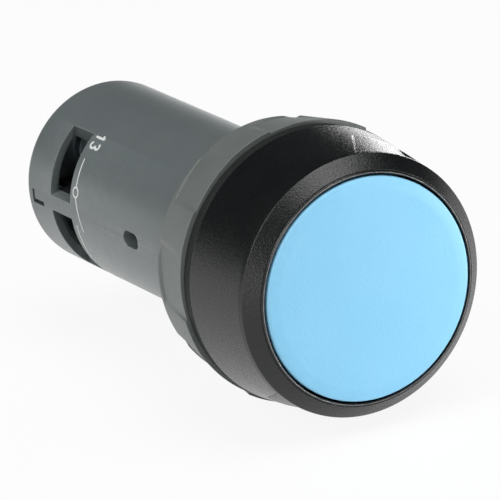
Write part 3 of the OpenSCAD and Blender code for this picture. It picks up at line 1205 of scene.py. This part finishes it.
@dataclass
class Barrel:
    """The terminal barrel with its windows, snap holes and latch slot."""

    dresser: Dresser
    sizes: BarrelSizes = BarrelSizes()

    def tube(self) -> Mesh:
        """The plain tube."""
        size = self.sizes
        corners = [
            Corner(size.bore, size.front, 0.1),
            Corner(size.radius, size.front, 0.25, 0.3),
            Corner(size.radius, size.rear, 0.7, 0.6),
            Corner(size.bore, size.rear, 0.12, 0.3),
        ]
        return Turned(outline(corners), round_turns(180)).mesh("tube")

    def window(self, terminal: Terminal) -> Mesh:
        """Cutter of a wire window, with a slanted far end and a pocket behind it."""
        size = self.sizes
        before, behind, below = size.pocket
        inner, deep = size.radius - size.window_wall, size.bore - below
        pocket_front, pocket_rear = size.window_front - before, size.window_rear + behind
        section = [
            (size.radius + size.past, size.window_front),
            (inner, size.window_front),
            (inner, pocket_front),
            (deep, pocket_front),
            (deep, pocket_rear),
            (inner, pocket_rear),
            (inner, size.window_rear + size.window_lean * size.window_wall),
            (size.radius + size.past, size.window_rear - size.window_lean),
        ]
        steps = 24
        points: list[Vector] = []
        for step in range(steps + 1):
            for radius, depth in section:
                sunk = min(size.window_wall, size.radius - radius)
                far = size.window_far - size.window_slant * sunk
                across = size.window_near + (far - size.window_near) * step / steps
                turn = terminal.value * math.asin(min(1.0, across / radius))
                points.append(on_axis(radius, turn, depth))
        return solid_mesh("window", points, joined(steps + 1, len(section), False))

    def snap_hole(self, side: int) -> Mesh:
        """Cutter of a snap hole."""
        size = self.sizes
        flat = [(across, size.snap_depth + along) for across, along in stadium(*size.snap_size)]
        return bar(flat, side * (size.bore - size.past), side * (size.radius + size.past))

    def latch_slot(self) -> Mesh:
        """Cutter of the slot that the rear cover's latch lies in."""
        size = self.sizes
        low, high, front, rear = size.latch
        flat = [(low, front), (high, front), (high, rear), (low, rear)]
        return bar(flat, size.past - size.bore, -size.radius - size.past)

    def on_outside(self, middle: Vector) -> bool:
        """Whether an edge lies on the barrel's outer face, round a window or a snap hole."""
        size = self.sizes
        first, last = size.softened
        outside = math.hypot(middle.x, middle.z) > size.radius - size.edge_band
        return outside and first < middle.y < last

    def build(self) -> None:
        """Builds and dresses the barrel."""
        cutters = [self.window(terminal) for terminal in Terminal]
        cutters += [self.snap_hole(-1), self.snap_hole(1), self.latch_slot()]
        mesh = cut(self.tube(), cutters)
        soften(mesh, self.sizes.edge, self.on_outside)
        barrel = new_piece("barrel_tube", mesh)
        self.dresser.dress(barrel, BARREL_GREY, Body.HOUSING, "barrel_grey", ["barrel"])
        self.dresser.keep("rear_cover", BARREL_GREY, 0.12)


Stroke = Sequence[Pair]


@dataclass(frozen=True)
class PrintSizes:
    """Sizes and places of the print on the barrel.

    Each place is a turn in degrees and a depth. The ink lies between two heights above the barrel,
    and its bands are drawn in short steps.
    """

    radius: float = 10.15
    height: float = 1.85
    width: float = 1.3
    pitch: float = 1.0
    inset: float = 0.2
    line: float = 0.19
    bold: float = 0.27
    step: float = 0.15
    ink: Pair = (-0.01, 0.015)
    numbers: tuple[tuple[str, float, float], ...] = (("13", 48.0, 32.2), ("14", -48.0, 32.2))
    wire_line: tuple[Pair, ...] = ((35.0, 32.8), (17.0, 32.8))
    arm: tuple[Pair, ...] = ((10.4, 32.7), (-10.5, 31.6))
    far_line: tuple[Pair, ...] = ((-8.0, 33.0), (-32.0, 33.0))
    pivot: Pair = (13.5, 32.8)
    pivot_radius: float = 0.55


DIGITS: dict[str, Sequence[Stroke]] = {
    "1": [[(0.02, 0.72), (0.28, 1.0), (0.28, 0.0)]],
    "3": [
        [(0.05, 0.86), (0.18, 0.97), (0.36, 0.99), (0.52, 0.90)]
        + [(0.55, 0.74), (0.46, 0.60), (0.28, 0.54)],
        [(0.28, 0.54), (0.48, 0.48), (0.58, 0.32), (0.54, 0.13)]
        + [(0.38, 0.01), (0.18, 0.02), (0.03, 0.15)],
    ],
    "4": [[(0.44, 0.0), (0.44, 1.0), (0.0, 0.30), (0.62, 0.30)]],
}


@dataclass
class TerminalPrint:
    """Plain terminal numbers and the sign of an open contact, printed on the barrel."""

    dresser: Dresser
    sizes: PrintSizes = PrintSizes()

    def ribbon(self, stroke: Stroke, line: float) -> list[Vector]:
        """Flat band along a stroke of arc lengths and depths, laid on the barrel.

        Args:
            stroke: Points along the middle of the band: distance round the barrel, and depth.
            line: Width of the band.

        Returns:
            The band's points, four at each step.
        """
        path: list[Vector] = []
        for start, end in zip(stroke, stroke[1:]):
            count = max(1, math.ceil(math.dist(start, end) / self.sizes.step))
            path += [Vector(start).lerp(Vector(end), step / count) for step in range(count)]
        path.append(Vector(stroke[-1]))
        points: list[Vector] = []
        for index, here in enumerate(path):
            back = (here - path[index - 1]).normalized() if index else None
            ahead = (path[index + 1] - here).normalized() if index + 1 < len(path) else None
            along = ((back or ahead) + (ahead or back)).normalized()
            mitre = min(1.6, 1 / max(0.3, along.dot(ahead or back)))
            aside = Vector((-along.y, along.x)) * (line / 2 * mitre)
            low, high = self.sizes.ink
            for side, rise in ((aside, low), (aside, high), (-aside, high), (-aside, low)):
                turn = (here + side).x / self.sizes.radius
                points.append(on_axis(self.sizes.radius + rise, turn, (here + side).y))
        return points

    def arc(self, turn: float) -> float:
        """Distance round the barrel of a turn in degrees."""
        return math.radians(turn) * self.sizes.radius

    def piece(self, name: str, strokes: Sequence[Stroke], line: float) -> None:
        """Makes one printed piece of several strokes."""
        points: list[Vector] = []
        faces: list[Face] = []
        for stroke in strokes:
            band = self.ribbon(stroke, line)
            for face in joined(len(band) // 4, 4, False):
                faces.append(tuple(len(points) + place for place in face))
            points += band
        printed = new_piece(name, solid_mesh(name, points, faces))
        self.dresser.dress(printed, PRINT_WHITE, Body.HOUSING, "white_plastic")

    def number(self, digits: str, turn: float, depth: float) -> list[Stroke]:
        """Strokes of a number that reads downwards, with its top towards the panel."""
        size = self.sizes
        strokes = []
        for place, digit in enumerate(digits):
            start = self.arc(turn) + size.pitch * (len(digits) / 2 - place) - size.inset
            top = depth + size.height / 2
            for stroke in DIGITS[digit]:
                strokes.append([(start - x * size.width, top - y * size.height) for x, y in stroke])
        return strokes

    def build(self) -> None:
        """Builds and dresses the print."""
        size = self.sizes
        for digits, turn, depth in size.numbers:
            self.piece(f"number_{digits}", self.number(digits, turn, depth), size.bold)
        ring, sides = [], 32
        for step in range(sides + 1):
            around = 2 * math.pi * step / sides
            across = self.arc(size.pivot[0]) + size.pivot_radius * math.cos(around)
            ring.append((across, size.pivot[1] + size.pivot_radius * math.sin(around)))
        lines = []
        for line in (size.wire_line, size.arm, size.far_line):
            lines.append([(self.arc(turn), depth) for turn, depth in line])
        self.piece("contact_sign", [*lines, ring], size.line)


@dataclass(frozen=True)
class ScrewSizes:
    """Sizes of the terminal screws."""

    x: float = -2.2
    z: float = 3.9
    shank: float = 1.45
    tip: float = 37.85
    head: float = 2.6
    head_front: float = 41.1
    head_rear: float = 42.7
    cross_width: float = 0.8
    cross_reach: float = 1.7
    cross_depth: float = 0.9
    cross_edge: float = 0.07
    lead: float = 0.3
    pitch: float = 0.5
    thread_depth: float = 0.2


@dataclass
class Terminals:
    """Terminal screws, wire clamps and the fixed contacts that they clamp on."""

    dresser: Dresser
    sizes: ScrewSizes = ScrewSizes()

    def shape(self, rim: Rim, turn: float) -> Rim:
        """Cuts the screw's thread."""
        size = self.sizes
        threaded = size.tip + 0.1 < rim.depth < size.head_front - 0.2
        if abs(rim.radius - size.shank) > SAME or not threaded:
            return rim
        groove = 1 - thread_wave(rim.depth, turn, size.pitch)
        return Rim(rim.radius - size.thread_depth * groove, rim.depth)

    def screw(self, terminal: Terminal) -> Mesh:
        """A cheese-head screw with a cross recess."""
        size = self.sizes
        corners = [
            Corner(0.0, size.tip, 0.0),
            Corner(size.shank - size.lead, size.tip, 0.05),
            Corner(size.shank, size.tip + size.lead, 0.0, 0.0, 36),
            Corner(size.shank, size.head_front, 0.1),
            Corner(size.head, size.head_front, 0.12, 0.5),
            Corner(size.head, size.head_rear, 0.35, 0.8),
            Corner(0.0, size.head_rear, 0.0),
        ]
        centre = (size.x, terminal.value * size.z)
        body = Turned(outline(corners), round_turns(64), centre, self.shape).mesh("screw")
        floor, top = size.head_rear - size.cross_depth, size.head_rear + 0.5
        arms = []
        for turn in (45, 135):
            spin = Matrix.Rotation(math.radians(turn), 3, "Y")
            flat = [
                spin @ Vector((x * size.cross_reach, 0.0, z * size.cross_width / 2))
                for x, z in ((-1, -1), (1, -1), (1, 1), (-1, 1))
            ]
            sections = []
            for depth in (floor, top):
                shift = Vector((centre[0], depth, centre[1]))
                sections.append([tuple(point + shift) for point in flat])
            arms.append(prism(sections))
        mesh = cut(body, arms)
        soften(mesh, size.cross_edge, lambda middle: middle.y > size.head_rear - SAME)
        return mesh

    def build(self) -> None:
        """Builds the screws and dresses the clamps and contacts."""
        for terminal, body in ((Terminal.UPPER, Body.SCREW_13), (Terminal.LOWER, Body.SCREW_14)):
            name = f"terminal_screw_{terminal.number}"
            screw = new_piece(f"clamp_screw_{terminal.number}", self.screw(terminal))
            self.dresser.dress(screw, ZINC, body, "zinc_steel", [name])
            for node, finish, rounding in (
                ("terminal_cage", ZINC, 0.22),
                ("fixed_contact", BRASS, 0.1),
                ("fixed_tip", SILVER, 0.15),
                ("bridge_tip", SILVER, 0.15),
            ):
                self.dresser.keep(f"{node}_{terminal.number}", finish, rounding)


@dataclass(frozen=True)
class SpringSizes:
    """Sizes of the two springs.

    Each has its radius, wire, front, rear and turns, and the share of its length that a full press
    leaves.
    """

    back: tuple[float, float, float, float, float] = (5.2, 0.8, 1.0, 13.0, 6.0)
    back_keep: float = 8 / 12
    bridge: tuple[float, float, float, float, float] = (1.15, 0.4, 19.5, 24.6, 5.0)
    bridge_keep: float = 3.5 / 5.1


@dataclass
class Movement:
    """The plunger, its seal, the contact bridge and the springs inside the button."""

    dresser: Dresser
    sizes: SpringSizes = SpringSizes()

    def build(self) -> None:
        """Builds the springs and dresses the rest."""
        size = self.sizes
        back = new_piece("back_spring", coil(*size.back))
        self.dresser.dress(back, SPRING_STEEL, Body.HOUSING, "spring_steel", ["return_spring"])
        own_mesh(back)
        bridge = new_piece("contact_spring", coil(*size.bridge))
        self.dresser.dress(bridge, SPRING_STEEL, Body.BUTTON, "spring_steel", ["bridge_spring"])
        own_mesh(bridge)
        for node, finish, rounding in (
            ("plunger", INNER_WHITE, 0.2),
            ("plunger_seal", GASKET_RUBBER, 0.2),
            ("contact_carrier", INNER_WHITE, 0.15),
            ("contact_bridge", BRASS, 0.1),
            ("contact_block", INNER_DARK, 0.1),
        ):
            self.dresser.keep(node, finish, rounding)


# Studio


@dataclass(frozen=True)
class Lamp:
    """A soft square lamp.

    Attributes:
        name: Name of the lamp.
        place: Where it stands, in metres.
        aim: What it points at, in metres.
        side: Length of its side, in metres.
        power: Its power, in watts.
    """

    name: str
    place: Place
    aim: Place
    side: float
    power: float

    def hang(self) -> None:
        """Puts the lamp in the scene."""
        light = bpy.data.lights.new(self.name, "AREA")
        light.shape, light.size, light.energy = "SQUARE", self.side, self.power
        lamp = placed(self.name, light)
        lamp.location = self.place
        lamp.visible_camera = False
        way = Vector(self.aim) - Vector(self.place)
        lamp.rotation_euler = way.to_track_quat("-Z", "Y").to_euler()


@dataclass
class Studio:
    """White floor, soft lamps and the camera.

    Attributes:
        eye: Place of the camera, in millimetres.
        right: Direction of the picture's right side.
        down: Direction of the picture's lower side.
        away: Direction that the camera looks in.
        lens: Focal length, in millimetres.
        sensor: Width of the sensor, in millimetres.
        floor: Height of the floor, in millimetres.
        reach: How far the floor goes each way, in metres.
        mottle: Size of the floor's mottling, in millimetres.
        whites: The two colours that it mottles between.
        glow: Share of the floor that is plain white to the camera.
        horizon: Colour of the room near the horizon.
        room: Colour of the room above it.
        lamps: The lamps.
    """

    eye: Place = (-264.9, -496.8, 185.4)
    right: Place = (0.8680, -0.4870, -0.0972)
    down: Place = (-0.2329, -0.2264, -0.9458)
    away: Place = (0.4387, 0.8435, -0.3099)
    lens: float = 411.4
    sensor: float = 36.0
    floor: float = -15.4
    reach: float = 4.0
    mottle: float = 220.0
    whites: tuple[Colour, Colour] = ((0.90, 0.90, 0.895), (0.92, 0.92, 0.915))
    glow: float = 0.90
    horizon: Colour = (0.95, 0.95, 0.95)
    room: Colour = (0.055, 0.058, 0.060)
    lamps: tuple[Lamp, ...] = (
        Lamp("overhead", (0.11, -0.27, 0.86), (0.0, 0.01, 0.0), 0.70, 6.0),
        Lamp("front", (0.080, -0.060, -0.007), (0.0, -0.0125, -0.004), 0.016, 0.044),
        Lamp("left", (-0.88, -0.42, 0.16), (0.0, 0.01, 0.0), 0.35, 1.0),
        Lamp("side", (-0.70, -0.05, 0.62), (0.0, 0.01, 0.0), 0.50, 3.1),
        Lamp("back", (0.72, 0.69, 0.14), (0.0, 0.01, 0.0), 0.28, 1.5),
    )

    def build(self) -> None:
        """Builds the camera, the floor and the light."""
        self.build_camera()
        self.build_floor()
        self.build_world()
        for lamp in self.lamps:
            lamp.hang()
        bpy.context.scene.view_settings.view_transform = "Standard"

    def build_camera(self) -> None:
        """Puts the camera where the button's circles look as they do in the picture."""
        lens = bpy.data.cameras.new("camera")
        lens.lens, lens.sensor_width = self.lens, self.sensor
        lens.clip_start, lens.clip_end = 0.01, 20.0
        camera = placed("camera", lens)
        columns = [Vector(self.right), -Vector(self.down), -Vector(self.away)]
        turned = Matrix(columns).transposed().to_4x4()
        camera.matrix_world = Matrix.Translation(Vector(self.eye) * MM) @ turned
        bpy.context.scene.camera = camera

    def build_floor(self) -> None:
        """Lays the floor: white to the camera and in reflections, with a light shadow."""
        graph = Graph.of_material("floor white")
        mottle = graph.noise(graph.place(), self.mottle)
        colour, roughness = graph.mix(mottle, *self.whites), mottle * 0.1 + 0.6
        graph.finish(Specular_IOR_Level=0.2, Base_Color=colour, Roughness=roughness)
        seen = graph.node("ShaderNodeLightPath", {}, {}, "Is Camera Ray")
        for ray in ("Is Glossy Ray", "Is Transmission Ray"):
            seen = seen.math("MAXIMUM", seen, graph.node("ShaderNodeLightPath", {}, {}, ray))
        glow = graph.node("ShaderNodeEmission", {}, {"Color": (1.0, 1.0, 1.0), "Strength": 1.0})
        lit = Value(graph, graph.shader.outputs[0])
        mixed = graph.node("ShaderNodeMixShader", {}, {0: seen * self.glow, 1: lit, 2: glow})
        graph.feed(graph.tree.nodes["Material Output"].inputs["Surface"], mixed)
        mesh = bpy.data.meshes.new("floor")
        reach = self.reach
        corners = [(-reach, -reach), (reach, -reach), (reach, reach), (-reach, reach)]
        mesh.from_pydata([(x, y, self.floor * MM) for x, y in corners], [], [(0, 1, 2, 3)])
        mesh.materials.append(graph.owner)
        floor = placed("floor", mesh)

    def build_world(self) -> None:
        """Fills the room with a dim light that is white near the horizon, like a pale backdrop."""
        graph = Graph(bpy.data.worlds.new("room"), "Background")
        way = graph.node("ShaderNodeTexCoord", {}, {}, "Generated")
        height = graph.node("ShaderNodeSeparateXYZ", {}, {0: way}, "Z")
        colour = graph.mix(height.band(0.02, 0.14), self.horizon, self.room)
        bpy.context.scene.world = graph.finish(Color=colour)


def main() -> None:
    """Builds the button and its studio."""
    logging.basicConfig(level=logging.INFO, format="%(name)s: %(message)s")
    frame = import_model()
    dresser = Dresser(frame["nodes"])
    Studio().build()
    for assembly in (ButtonCap, Bezel, MountingNut, Barrel, TerminalPrint, Terminals, Movement):
        assembly(dresser).build()


if __name__ == "__main__":
    main()
